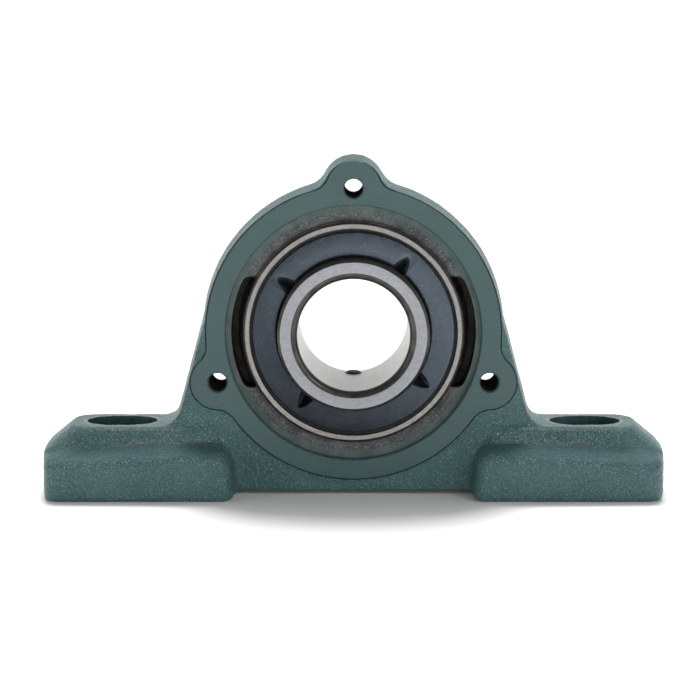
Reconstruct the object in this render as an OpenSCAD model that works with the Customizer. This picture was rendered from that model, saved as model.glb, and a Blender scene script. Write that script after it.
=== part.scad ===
// Pillow block bearing unit for a 25 mm shaft: a cast housing on two slotted feet, and a ball bearing
// insert with a wide inner ring, whose spherical outer ring lines itself up in the housing.
// The origin is the centre of the spherical seat. The shaft runs along Y, Z is up, the feet lie along X
// and the front, where the inner ring is short, looks along -Y.

/* [Inner ring] */
// Bore that takes the shaft
bore_d = 25; // [22:0.5:28]
// Thickness of the inner ring between the bore and the bottom of its groove
inner_wall = 3.031; // [2.6:0.05:3.6]
// Width of the inner ring along the shaft
inner_ring_w = 34.1; // [32:0.1:38]
// How far the inner ring stands out in front of the seat's centre
inner_ring_front = 14.3; // [12.5:0.1:16]
// Radius that rounds the front mouth of the bore
mouth_r = 1.45; // [0.6:0.05:2]
// Chamfer on the other edges of the inner ring
ring_chamfer = 0.6; // [0.3:0.1:0.9]

/* [Balls and cage] */
// Diameter of a ball
ball_d = 7.938; // [7:0.1:8.8]
// How deep the balls run below the shoulders of both rings
shoulder_h = 1.38; // [1.1:0.02:1.7]
// Thickness of the sheet that both cage halves are pressed from
cage_sheet = 0.6; // [0.4:0.05:0.8]
// Width of the cage's band, across the shaft
cage_band = 3.2; // [2.6:0.1:3.8]
// Diameter of the rivets that join the cage halves
rivet_d = 1.2; // [0.9:0.1:1.5]
// Diameter of the rivet heads
rivet_head_d = 2.2; // [1.8:0.1:2.6]

/* [Outer ring and seals] */
// Thickness of the outer ring between the bottom of its groove and its spherical surface
outer_wall = 2.531; // [2.3:0.05:3.2]
// Width of the outer ring
outer_ring_w = 17; // [16.4:0.1:18]
// Chamfer between the outer ring's faces and its spherical surface
face_chamfer = 0.33; // [0.2:0.01:0.4]
// Width of the open recess in each face of the outer ring
ring_recess_depth = 1.6; // [1.4:0.1:1.9]
// How far that recess is wider than the shoulder
ring_recess_step = 1.2; // [1:0.05:1.3]
// Depth of the groove that holds the rim of a seal, beyond the recess
seal_groove = 0.25; // [0.15:0.05:0.3]
// Thickness of the steel sheet in a seal
shield_sheet = 0.6; // [0.4:0.05:0.7]
// Thickness of the rubber on the outside of that sheet
rubber_t = 0.3; // [0.2:0.05:0.35]

/* [Slingers] */
// Thickness of the slinger's sheet
slinger_sheet = 0.5; // [0.4:0.05:0.55]
// How far a slinger's face stands proud of the outer ring's face
slinger_proud = 0.1; // [0:0.05:0.4]
// Gap between a slinger's rim and the recess in the outer ring
slinger_gap = 0.8; // [0.4:0.05:1]
// Radius of the bend from the slinger's face to its collar
slinger_bend = 0.7; // [0.6:0.05:0.8]
// Number of staked dents that grip the inner ring
dent_count = 4; // [3:1:6]
// Direction of the first dent, from +X towards +Z
dent_angle = 54; // [0:1:90]
// Length of a dent across the slinger's face
dent_length = 3.9; // [3:0.1:4.4]
// Width of a dent at the collar
dent_width = 3.5; // [2.6:0.1:4]
// Depth of a dent at the collar
dent_depth = 0.85; // [0.5:0.05:0.9]

/* [Set screws] */
// Diameter of the set screws
screw_d = 5; // [4:0.5:6]
// Length of the set screws
screw_l = 5; // [4:0.5:7]
// Distance from the inner ring's rear face to the screws' axis
screw_inset = 5; // [4:0.25:6]
// How far the screws' tips lie outside the bore
screw_recess = 0.2; // [0.2:0.1:1.2]
// Direction of the first screw, from +X towards +Z
screw_angle = 270; // [0:5:355]
// Angle between the two screws
screw_spread = 120; // [60:5:150]
// Width of the hexagon socket across its flats
socket_w = 2.5; // [2:0.1:3]

/* [Housing seat and faces] */
// Distance between the machined front and rear faces
face_w = 19.6; // [18.4:0.1:22]
// How far the machined faces stand proud of the cast walls
face_raise = 0.6; // [0.3:0.1:1]
// Depth of the cover recess in each face
recess_depth = 2.5; // [2:0.1:3]
// How far the cover recess is wider than the spherical seat
recess_step = 2.47; // [2:0.05:3.2]
// Width of the machined rim around the recess
face_rim = 4.3; // [3.8:0.1:5.5]
// Distance from the wall of the recess to the axis of the cover screws
cover_screw_offset = 3.8; // [3.4:0.1:4.4]
// Diameter of the three tapped holes for cover screws
cover_screw_d = 4.2; // [3.3:0.1:5]
// How far the lower two tapped holes lie below the shaft, as an angle
cover_screw_drop = 20; // [15:1:26]
// Radius of the machined lug around each tapped hole
lug_r = 6; // [5.4:0.1:6.6]
// Height of the two notches through which the insert is loaded
notch_h = 25; // [20:0.5:28]
// How far the notches are cut beyond the spherical seat
notch_depth = 1.3; // [0.8:0.1:1.8]

/* [Housing casting] */
// Height of the shaft above the base
centre_h = 36.5; // [36:0.5:44]
// Draft of the head, from its middle to its cast walls
cast_draft = 1; // [0.6:0.1:1.6]
// Lean of the flanks from upright
flank_lean = 15; // [12:0.1:20]
// How far the flanks lie inside the head's round outline
flank_inset = 0.45; // [0.3:0.05:0.8]
// Radius of the blends in the cast outline
cast_blend = 5.5; // [4:0.5:7]
// Wall of cast iron around the machined lug on top
lug_wall = 1.1; // [0.8:0.1:1.6]
// Height of the underside between the feet
relief_h = 0.8; // [0.6:0.1:2.4]

/* [Feet] */
// Distance between the two mounting bolts
bolt_spacing = 105; // [102:0.5:114]
// Width of the mounting slots
slot_w = 13; // [11:0.5:14]
// Length of the mounting slots
slot_l = 16; // [14:0.5:19]
// Width of the feet along the shaft
foot_w = 38; // [35:0.5:46]
// Height of the pads that the bolt heads bear on
foot_h = 15.35; // [14:0.1:18]
// Width of the pad on each side of the slot
pad_side = 3.9; // [3:0.1:4.6]
// Width of the pad outside the slot
pad_end = 3.5; // [2.5:0.1:5]
// Distance from the slot to the outer end of the foot
foot_end = 9.5; // [8.6:0.1:12]
// How far the outer end of the foot bows out between its corners
foot_bow = 1.3; // [0.3:0.1:2]
// Distance from the shaft to the inner end of the foot's front
foot_inner = 28.6; // [26:0.1:31]
// How far the pad stands above the foot at its outer end
pad_rise_outer = 4; // [3:0.1:5]
// How far the pad stands above the foot at its inner end
pad_rise_inner = 2.2; // [1.5:0.1:3]
// Radius of the foot's long top edges and of its outer corners
foot_round = 3; // [2:0.1:4]
// Radius of the foot's upper inner corner
foot_corner_r = 7; // [5:0.1:7]

/* [Hidden] */
$fn = 96;
hull_fn = 32;
skin = 0.02;            // thickness of the slices that a hull is stretched over
over = 1;               // how far a cut runs past what it cuts
seat_clearance = 0.03;  // spherical seat to outer ring
ball_clearance = 0.02;  // ball to raceway
pocket_clearance = 0.12;
thread_clearance = 0.05;
lip_clearance = 0.05;   // rubber lip to inner ring
conformity = 0.52;      // raceway radius as a share of the ball's diameter
small_round = 1.2;
pad_round = 0.5;
pad_corner_r = 5;
pad_draft = 0.37;       // side draft of the pad, per mm of height
end_draft = 1.1;        // draft of the pad's outer end
foot_outer_r = 2.5;
foot_flare = 0.1;       // how the inner end flares towards the wall, per mm
notch_corner_r = 2;
rear_chamfer = 1;

ball_count = 9;
ball_r = ball_d / 2;
inner_groove_r = bore_d / 2 + inner_wall;
pitch_r = inner_groove_r + ball_clearance / 2 + ball_r;
outer_groove_r = pitch_r + ball_r + ball_clearance / 2;
race_r = conformity * ball_d;
inner_ring_r = inner_groove_r + shoulder_h;
outer_land_r = outer_groove_r - shoulder_h;
sphere_r = outer_groove_r + outer_wall;
inner_ring_rear = inner_ring_w - inner_ring_front;

ring_half = outer_ring_w / 2;
ring_recess_r = outer_land_r + ring_recess_step;
seal_rim_r = ring_recess_r + seal_groove;
seal_front = ring_half - ring_recess_depth;
seal_back = seal_front - rubber_t - shield_sheet;
shield_in = inner_ring_r + 1.5;
shield_out = ring_recess_r - 0.3;
rubber_r = inner_ring_r + lip_clearance;

slinger_front = ring_half + slinger_proud;
slinger_r = ring_recess_r - slinger_gap;
slinger_rim = 0.9;
collar_end = slinger_front - 1.3;

cage_in = pitch_r - cage_band / 2;
cage_out = pitch_r + cage_band / 2;
pocket_r = ball_r + pocket_clearance;
pocket_out_r = pocket_r + cage_sheet;
ball_step = 360 / ball_count;
first_ball = 90;
rivet_head_t = 0.5;

screw_y = inner_ring_rear - screw_inset;
screw_tip = bore_d / 2 + screw_recess;

seat_r = sphere_r + seat_clearance;
recess_r = seat_r + recess_step;
face_r = recess_r + face_rim;
head_r = face_r + cast_draft + 0.2;
face_y = face_w / 2;
wall_y = face_y - face_raise;
floor_y = face_y - recess_depth;
cover_screw_r = recess_r + cover_screw_offset;
cover_screws = [90, 180 + cover_screw_drop, 360 - cover_screw_drop];
notch_r = seat_r + notch_depth;
lead_in = 0.85;
lip_y = floor_y + 0.3;
lip_r = seat_r + 1;

pad_z = foot_h - centre_h;
slot_x = bolt_spacing / 2;
slot_half = slot_l / 2;
foot_end_x = slot_x + slot_half + foot_end;
pad_end_x = slot_x + slot_half + pad_end;
pad_half = slot_w / 2 + pad_side;
cast_scale = 1 - cast_draft / (head_r - pad_z);
foot_half = foot_w / 2;
edge_y = foot_half - foot_round;

// Turns a profile of [radius, place along the shaft] round the shaft's axis
module turned() {
  rotate([-90, 0, 0])
    rotate_extrude()
      children();
}

// Extrudes an outline, drawn as seen from the front, between two places along the shaft
module slab(y_front, y_rear) {
  translate([0, y_rear, 0])
    rotate([90, 0, 0])
      linear_extrude(y_rear - y_front)
        children();
}

// Turns its children from +X towards +Z
module at_angle(angle) {
  rotate([0, -angle, 0])
    children();
}

// A rectangle of the profile plane, between two radii and two places along the shaft
module band(r_in, r_out, y_front, y_rear) {
  translate([r_in, y_front])
    square([r_out - r_in, y_rear - y_front]);
}

// Fills the inner corners of an outline with a radius
module blended(r) {
  offset(r = -r)
    offset(delta = r)
      children();
}

// Outline of the casting in its middle plane: head, top lug, leaning flanks and the level of the pads
module cast_outline() {
  flank_r = head_r - flank_inset;
  flank_top = flank_r * sin(flank_lean);
  bottom_z = -centre_h - 5;
  blend_end = pad_end_x - 2 * slot_half;
  blended(cast_blend)
    union() {
      circle(head_r);
      translate([0, cover_screw_r])
        circle(lug_r + lug_wall);
      polygon([
        for (z = [flank_top, pad_z]) [flank_x(z, flank_r), z],
        [blend_end, pad_z], [blend_end, bottom_z], [-blend_end, bottom_z], [-blend_end, pad_z],
        for (z = [pad_z, flank_top]) [-flank_x(z, flank_r), z]
      ]);
    }
}

function flank_x(z, r) = (r - z * sin(flank_lean)) / cos(flank_lean);

// One half of the casting's middle part, drafted from the middle plane to its cast wall
module cast_half() {
  translate([0, 0, pad_z])
    rotate([90, 0, 0])
      linear_extrude(wall_y, scale = cast_scale)
        translate([0, -pad_z])
          cast_outline();
}

// Machined pad of a face: a rim around the recess, with a lug for each cover screw
module face_outline() {
  blended(cast_blend - 1)
    union() {
      circle(face_r);
      for (angle = cover_screws)
        rotate(angle)
          translate([cover_screw_r, 0])
            circle(lug_r);
    }
}

module middle_casting() {
  difference() {
    union() {
      cast_half();
      mirror([0, 1, 0])
        cast_half();
    }
    translate([-foot_end_x, -foot_w, -2 * centre_h + relief_h])
      cube([2 * foot_end_x, 2 * foot_w, centre_h]);
  }
}

// A thin disc across the shaft's direction, cut off at the base, which a foot is stretched over
module foot_disc(x, y, z, r) {
  intersection() {
    translate([x, y, z])
      rotate([90, 0, 0])
        cylinder(h = skin, r = r, $fn = hull_fn);
    translate([x - r, y - over, -centre_h])
      cube([2 * r, 2 * over, centre_h]);
  }
}

// Slice of a foot at y: its top and its outer end stand back by drop, and its inner end starts at inner_x
module foot_slice(y, drop, inner_x) {
  outer_x = foot_end_x - foot_bow * pow(min(abs(y) / edge_y, 1), 2) - drop;
  base_z = -centre_h + small_round;
  inner_top = pad_z - pad_rise_inner - drop;
  outer_top = pad_z - pad_rise_outer - drop;
  foot_disc(outer_x - small_round, y, base_z, small_round);
  foot_disc(outer_x - foot_outer_r, y, outer_top - foot_outer_r, foot_outer_r);
  foot_disc(inner_x + foot_corner_r + 0.6, y, inner_top - foot_corner_r, foot_corner_r);
  foot_disc(inner_x + small_round, y, base_z, small_round);
}

// The foot: a block with rounded top edges and a bowed outer end, whose inner end flares into the middle wall
module foot_block() {
  hull() {
    foot_slice(0, 0, foot_inner - foot_flare * foot_half - 1.4);
    for (share = [-0.75:0.25:0.75])
      foot_slice(share * edge_y, 0, foot_inner);
    for (side = [-1, 1])
      for (a = [0:22.5:90])
        foot_slice(
          side * (edge_y + foot_round * sin(a)),
          foot_round * (1 - cos(a)),
          foot_inner - 2 * cos(a)
        );
  }
}

// The raised pad for the bolt head, drafted on its sides and sloping down at its outer end
module pad_block() {
  low = pad_rise_outer + 1;
  hull()
    for (level = [[0, -pad_round, -pad_round], [pad_round, 0, 0], [low, low * pad_draft, low * end_draft]])
      for (side = [-1, 1]) {
        corner_r = pad_corner_r + level[1];
        y = side * (pad_half + level[1] - corner_r);
        translate([pad_end_x + level[2] - corner_r, y, pad_z - level[0] - skin])
          cylinder(h = skin, r = corner_r, $fn = hull_fn);
        translate([foot_inner + corner_r, y, pad_z - level[0] - skin])
          cylinder(h = skin, r = corner_r, $fn = hull_fn);
      }
}

// Mounting slot through one foot
module slot() {
  round_x = slot_half - slot_w / 2;
  translate([slot_x, 0, -centre_h - over])
    linear_extrude(centre_h + over)
      union() {
        for (side = [-1, 1])
          translate([side * round_x, 0])
            circle(slot_w / 2);
        square([2 * round_x, slot_w], center = true);
      }
}

// Cut from one face inwards: the cover recess, and the chamfer that leads over a low lip into the seat
module face_recess() {
  turned()
    polygon([
      [0, lip_y - lead_in], [seat_r - lead_in, lip_y - lead_in], [seat_r, lip_y], [lip_r, floor_y],
      [recess_r, floor_y], [recess_r, face_y + over], [0, face_y + over]
    ]);
}

// The pair of notches, open to the front, through which the insert goes in edge on
module notches() {
  slab(-face_y - over, 0)
    offset(r = notch_corner_r)
      offset(delta = -notch_corner_r)
        intersection() {
          circle(notch_r);
          square([2 * face_r, notch_h], center = true);
        }
}

module housing() {
  color([0.27, 0.37, 0.37])
    difference() {
      union() {
        middle_casting();
        for (side = [0, 1])
          mirror([side, 0, 0]) {
            foot_block();
            pad_block();
          }
        slab(-face_y, -wall_y + face_raise)
          face_outline();
        slab(wall_y - face_raise, face_y)
          face_outline();
      }
      sphere(seat_r);
      face_recess();
      mirror([0, 1, 0])
        face_recess();
      notches();
      for (angle = cover_screws)
        at_angle(angle)
          translate([cover_screw_r, face_y + over, 0])
            rotate([90, 0, 0])
              cylinder(h = face_w + 2 * over, d = cover_screw_d);
      for (side = [0, 1])
        mirror([side, 0, 0])
          slot();
    }
}

// The spherical outer ring: raceway, and on each side a shoulder, a seal groove and a recess
module outer_ring() {
  chamfer_r = sqrt(sphere_r * sphere_r - ring_half * ring_half) - face_chamfer;
  color([0.8, 0.79, 0.76])
    turned()
      difference() {
        intersection() {
          circle(sphere_r);
          polygon([
            [outer_land_r, -ring_half], [chamfer_r, -ring_half],
            [sphere_r + over, -ring_half + (sphere_r + over - chamfer_r)],
            [sphere_r + over, ring_half - (sphere_r + over - chamfer_r)],
            [chamfer_r, ring_half], [outer_land_r, ring_half]
          ]);
        }
        translate([outer_groove_r - race_r, 0])
          circle(race_r);
        for (side = [0, 1])
          mirror([0, side]) {
            band(outer_land_r - over, ring_recess_r, seal_front, ring_half + over);
            band(outer_land_r - over, seal_rim_r, seal_back, seal_front + skin);
          }
      }
}

// The wide inner ring: raceway, rounded front mouth, chamfers and two tapped holes
module inner_ring() {
  bore_r = bore_d / 2;
  front = -inner_ring_front;
  rear = inner_ring_rear;
  color([0.66, 0.68, 0.71])
    difference() {
      turned()
        difference() {
          polygon([
            [bore_r, front], [inner_ring_r - ring_chamfer, front], [inner_ring_r, front + ring_chamfer],
            [inner_ring_r, rear - ring_chamfer], [inner_ring_r - ring_chamfer, rear],
            [bore_r + rear_chamfer, rear], [bore_r, rear - rear_chamfer]
          ]);
          translate([inner_groove_r + race_r, 0])
            circle(race_r);
          difference() {
            translate([bore_r - over, front - over])
              square(mouth_r + over);
            translate([bore_r + mouth_r, front + mouth_r])
              circle(mouth_r);
          }
        }
      for (angle = [screw_angle, screw_angle - screw_spread])
        at_angle(angle)
          translate([bore_r - over, screw_y, 0])
            rotate([0, 90, 0])
              cylinder(h = inner_ring_r, d = screw_d);
    }
}

module ball(index) {
  color([0.85, 0.86, 0.88])
    at_angle(first_ball + index * ball_step)
      translate([pitch_r, 0, 0])
        sphere(ball_r);
}

// Repeats its children beside each ball, turned by a share of the ball spacing
module each_ball(share) {
  for (i = [0:ball_count - 1])
    at_angle(first_ball + (i + share) * ball_step)
      translate([pitch_r, 0, 0])
        children();
}

// A ball whose poles lie across the cage's band, outside the sheet that is kept
module pocket_ball(r) {
  rotate([90, 0, 90])
    sphere(r);
}

// One pressed half of the cage: a flat ring with a spherical pocket over each ball
module cage_half() {
  difference() {
    intersection() {
      turned()
        band(cage_in, cage_out, -pocket_out_r - over, 0);
      union() {
        turned()
          band(cage_in - over, cage_out + over, -cage_sheet, over);
        each_ball(0)
          pocket_ball(pocket_out_r);
      }
    }
    each_ball(0)
      pocket_ball(pocket_r);
    each_ball(0.5)
      rotate([90, 0, 0])
        cylinder(h = 3 * cage_sheet, d = rivet_d, center = true);
  }
}

module cage_front() {
  color([0.72, 0.71, 0.66])
    cage_half();
}

module cage_rear() {
  color([0.68, 0.67, 0.62])
    mirror([0, 1, 0])
      cage_half();
}

module cage_rivets() {
  color([0.55, 0.54, 0.5])
    each_ball(0.5)
      rotate([90, 0, 0]) {
        cylinder(h = 2 * cage_sheet, d = rivet_d, center = true);
        for (side = [0, 1])
          mirror([0, 0, side])
            translate([0, 0, cage_sheet])
              cylinder(h = rivet_head_t, d1 = rivet_head_d, d2 = rivet_d);
      }
}

// Steel washer inside a seal, which rests on the shoulder of the outer ring
module seal_shield() {
  color([0.5, 0.5, 0.5])
    turned()
      band(shield_in, shield_out, -seal_front + rubber_t, -seal_back);
}

// Rubber of a seal: the rim in the groove, the skin over the steel, and the lip that wipes the inner ring
module seal_lip() {
  lip_root = shield_in - 0.7;
  color([0.1, 0.1, 0.1])
    turned()
      polygon([
        [shield_in, -seal_front], [ring_recess_r, -seal_front], [seal_rim_r, -seal_front],
        [seal_rim_r, -seal_back], [shield_out, -seal_back], [shield_out, -seal_front + rubber_t],
        [shield_in, -seal_front + rubber_t], [shield_in, -seal_back], [lip_root, -seal_back],
        [rubber_r, -seal_back + 0.3], [rubber_r, -seal_back], [lip_root, -seal_front]
      ]);
}

module front_seal_shield() {
  seal_shield();
}

module front_seal_lip() {
  seal_lip();
}

module rear_seal_shield() {
  mirror([0, 1, 0])
    seal_shield();
}

module rear_seal_lip() {
  mirror([0, 1, 0])
    seal_lip();
}

// Round tool that presses a dent, lying along +X and sloping out of the slinger's face;
// grow is the sheet's thickness where the dent shows on the inside
module dent_tool(grow) {
  tool_r = (dent_width * dent_width / 4 + dent_depth * dent_depth) / (2 * dent_depth);
  slope = atan(dent_depth / dent_length);
  translate([inner_ring_r, -slinger_front - tool_r + dent_depth, 0])
    rotate([0, 0, -slope])
      rotate([0, 90, 0])
        translate([0, 0, -over])
          cylinder(h = 2 * dent_length, r = tool_r + grow);
}

// Section of the slinger's sheet: face, rolled rim and the bend down to the collar
module slinger_section() {
  front = -slinger_front;
  bend_x = inner_ring_r + slinger_bend;
  inside = slinger_bend - slinger_sheet;
  difference() {
    union() {
      band(inner_ring_r, slinger_r, front, front + slinger_sheet);
      band(slinger_r - slinger_sheet, slinger_r, front, front + slinger_rim);
      band(inner_ring_r, inner_ring_r + slinger_sheet, front, -collar_end);
      band(inner_ring_r, bend_x, front, front + slinger_bend);
    }
    difference() {
      band(inner_ring_r - over, bend_x, front - over, front + slinger_bend);
      translate([bend_x, front + slinger_bend])
        circle(slinger_bend);
    }
    translate([bend_x, front + slinger_bend])
      circle(inside);
  }
}

// Pressed slinger on the inner ring, with staked dents in its face
module slinger() {
  inside_y = -slinger_front + slinger_sheet;
  color([0.17, 0.19, 0.22])
    difference() {
      union() {
        turned()
          slinger_section();
        for (i = [0:dent_count - 1])
          at_angle(dent_angle + i * 360 / dent_count)
            intersection() {
              dent_tool(slinger_sheet);
              translate([0, -slinger_front + slinger_sheet / 2, -slinger_r])
                cube([slinger_r, slinger_front, 2 * slinger_r]);
            }
      }
      for (i = [0:dent_count - 1])
        at_angle(dent_angle + i * 360 / dent_count)
          dent_tool(0);
      turned()
        band(0, inner_ring_r, -slinger_front - over, -collar_end + over);
    }
}

module front_slinger() {
  slinger();
}

module rear_slinger() {
  mirror([0, 1, 0])
    slinger();
}

// Socket set screw with a cup point, lying along +X from its tip
module set_screw() {
  body_r = screw_d / 2 - thread_clearance;
  point_r = 0.62 * body_r;
  point_l = body_r - point_r;
  socket_l = screw_l / 2;
  difference() {
    union() {
      cylinder(h = point_l, r1 = point_r, r2 = body_r);
      translate([0, 0, point_l])
        cylinder(h = screw_l - point_l, r = body_r);
    }
    translate([0, 0, -skin])
      cylinder(h = point_r / 2, r1 = point_r * 0.75, r2 = 0);
    translate([0, 0, screw_l - socket_l])
      cylinder(h = socket_l + over, d = socket_w / cos(30), $fn = 6);
  }
}

module placed_screw(angle) {
  color([0.16, 0.16, 0.17])
    at_angle(angle)
      translate([screw_tip, screw_y, 0])
        rotate([0, 90, 0])
          set_screw();
}

module set_screw_1() {
  placed_screw(screw_angle);
}

module set_screw_2() {
  placed_screw(screw_angle - screw_spread);
}

housing();
outer_ring();
inner_ring();
for (i = [1:ball_count])
  ball(i - 1);
cage_front();
cage_rear();
cage_rivets();
front_seal_shield();
front_seal_lip();
rear_seal_shield();
rear_seal_lip();
front_slinger();
rear_slinger();
set_screw_1();
set_screw_2();
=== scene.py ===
# Pillow block bearing on a white studio floor, seen from the front and a little from above.
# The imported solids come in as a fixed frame. The pieces that show are modelled over them here.
import math
import bpy
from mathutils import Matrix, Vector


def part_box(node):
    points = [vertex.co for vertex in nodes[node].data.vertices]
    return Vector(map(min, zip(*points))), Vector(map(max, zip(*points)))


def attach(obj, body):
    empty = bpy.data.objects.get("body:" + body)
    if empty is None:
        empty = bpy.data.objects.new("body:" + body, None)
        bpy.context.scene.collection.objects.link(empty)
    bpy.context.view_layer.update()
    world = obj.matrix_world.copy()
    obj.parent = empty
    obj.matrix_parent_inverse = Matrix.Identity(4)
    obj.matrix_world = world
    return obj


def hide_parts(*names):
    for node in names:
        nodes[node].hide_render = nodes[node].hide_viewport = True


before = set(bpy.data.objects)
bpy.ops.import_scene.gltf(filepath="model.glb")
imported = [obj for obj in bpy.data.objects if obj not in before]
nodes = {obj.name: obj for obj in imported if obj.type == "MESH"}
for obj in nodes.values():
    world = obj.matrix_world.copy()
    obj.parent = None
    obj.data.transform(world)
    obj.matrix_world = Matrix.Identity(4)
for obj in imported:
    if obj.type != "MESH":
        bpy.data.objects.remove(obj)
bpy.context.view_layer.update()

mm = 0.001
print("frame loaded with", len(nodes), "nodes")


# Small tools of the workshop

def pickOnly(*objs):
    if bpy.context.mode != "OBJECT":
        bpy.ops.object.mode_set(mode="OBJECT")
    bpy.ops.object.select_all(action="DESELECT")
    for obj in objs:
        obj.select_set(True)
    bpy.context.view_layer.objects.active = objs[0]


def applyPlace(obj):
    pickOnly(obj)
    bpy.ops.object.transform_apply(location=True, rotation=True, scale=True)


def applyModifiers(obj):
    pickOnly(obj)
    for modifier in list(obj.modifiers):
        bpy.ops.object.modifier_apply(modifier=modifier.name)


def editAll(obj):
    pickOnly(obj)
    bpy.ops.object.mode_set(mode="EDIT")
    bpy.ops.mesh.select_mode(type="VERT")
    bpy.ops.mesh.select_all(action="SELECT")


def finishEdit():
    bpy.ops.mesh.select_all(action="SELECT")
    bpy.ops.mesh.normals_make_consistent(inside=False)
    bpy.ops.object.mode_set(mode="OBJECT")


def combine(target, tool, operation):
    # the faces that the tool leaves behind keep the tool's own finish
    modifier = target.modifiers.new("combine", "BOOLEAN")
    modifier.operation = operation
    modifier.object = tool
    modifier.solver = "EXACT"
    modifier.material_mode = "TRANSFER"
    applyModifiers(target)
    bpy.data.objects.remove(tool)


def joinUp(name, objs):
    pickOnly(*objs)
    bpy.ops.object.join()
    bpy.context.object.name = name
    return bpy.context.object


def smoothOver(obj, angle):
    pickOnly(obj)
    bpy.ops.object.shade_smooth_by_angle(angle=math.radians(angle))


def polar(radius, angle):
    # the two coordinates of a place that is given by its radius and its angle in degrees
    a = math.radians(angle)
    return radius * math.cos(a), radius * math.sin(a)


def arc(centre, radius, start, end, count):
    # points of (across, along) on an arc, its angles in degrees
    points = []
    for i in range(count + 1):
        across, along = polar(radius, start + (end - start) * i / count)
        points.append((centre[0] + across, centre[1] + along))
    return points


def turned(name, profile, steps, closed="ring"):
    # walks a circle along a profile of (radius, place along the shaft) in mm, then closes it
    radius, along = profile[0]
    bpy.ops.mesh.primitive_circle_add(
        vertices=steps, radius=radius * mm, location=(0, along * mm, 0), rotation=(math.pi / 2, 0, 0))
    obj = bpy.context.object
    obj.name = name
    applyPlace(obj)
    editAll(obj)
    for (r0, y0), (r1, y1) in zip(profile, profile[1:]):
        bpy.ops.mesh.extrude_edges_move(TRANSFORM_OT_translate={"value": (0, (y1 - y0) * mm, 0)})
        bpy.ops.transform.resize(value=(r1 / r0, 1, r1 / r0), center_override=(0, y1 * mm, 0))
    bpy.ops.mesh.select_all(action="DESELECT")
    bpy.ops.mesh.select_non_manifold()
    if closed == "ring":
        bpy.ops.mesh.bridge_edge_loops()
    else:
        bpy.ops.mesh.fill_holes(sides=0)
    finishEdit()
    return obj


def plate(name, outline, near, far):
    # a flat plate across the shaft, from an outline of (x, z) and its two places along y, in mm
    bpy.ops.mesh.primitive_circle_add(vertices=len(outline), fill_type="NGON")
    obj = bpy.context.object
    obj.name = name
    for vertex, (x, z) in zip(obj.data.vertices, outline):
        vertex.co = (x * mm, near * mm, z * mm)
    editAll(obj)
    bpy.ops.mesh.extrude_region_move(TRANSFORM_OT_translate={"value": (0, (far - near) * mm, 0)})
    finishEdit()
    return obj


def pin(name, radius, length, x, z, sides=64):
    # a round bar along the shaft's direction, its middle at y = 0
    bpy.ops.mesh.primitive_cylinder_add(
        vertices=sides, radius=radius * mm, depth=length * mm,
        location=(x * mm, 0, z * mm), rotation=(math.pi / 2, 0, 0))
    obj = bpy.context.object
    obj.name = name
    applyPlace(obj)
    return obj


def zigzag(inner, outer, start, pitch, turns):
    # the section of a thread: one crest and one root for each turn
    points = []
    for i in range(turns):
        points += [(inner, start + i * pitch), (outer, start + (i + 0.5) * pitch)]
    return points


def standUp(obj, angle, radius, along):
    # turns a piece that was made along the shaft outwards at an angle, its start at the radius
    obj.rotation_euler = (0, 0, -math.pi / 2)
    applyPlace(obj)
    x, z = polar(radius, angle)
    obj.rotation_euler = (0, -math.radians(angle), 0)
    obj.location = (x * mm, along * mm, z * mm)
    applyPlace(obj)


def faceFinish(obj, finishes, choose):
    # gives each face the finish whose number choose returns for the face's middle, in mm
    obj.data.materials.clear()
    for finish in finishes:
        obj.data.materials.append(finish)
    for face in obj.data.polygons:
        x, y, z = (c / mm for c in face.center)
        face.material_index = choose(x, y, z, face.normal)


def showPiece(piece, body, slot, *stoodFor):
    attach(piece, body)
    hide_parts(*stoodFor)
    print("made", piece.name)


# Finishes

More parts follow.
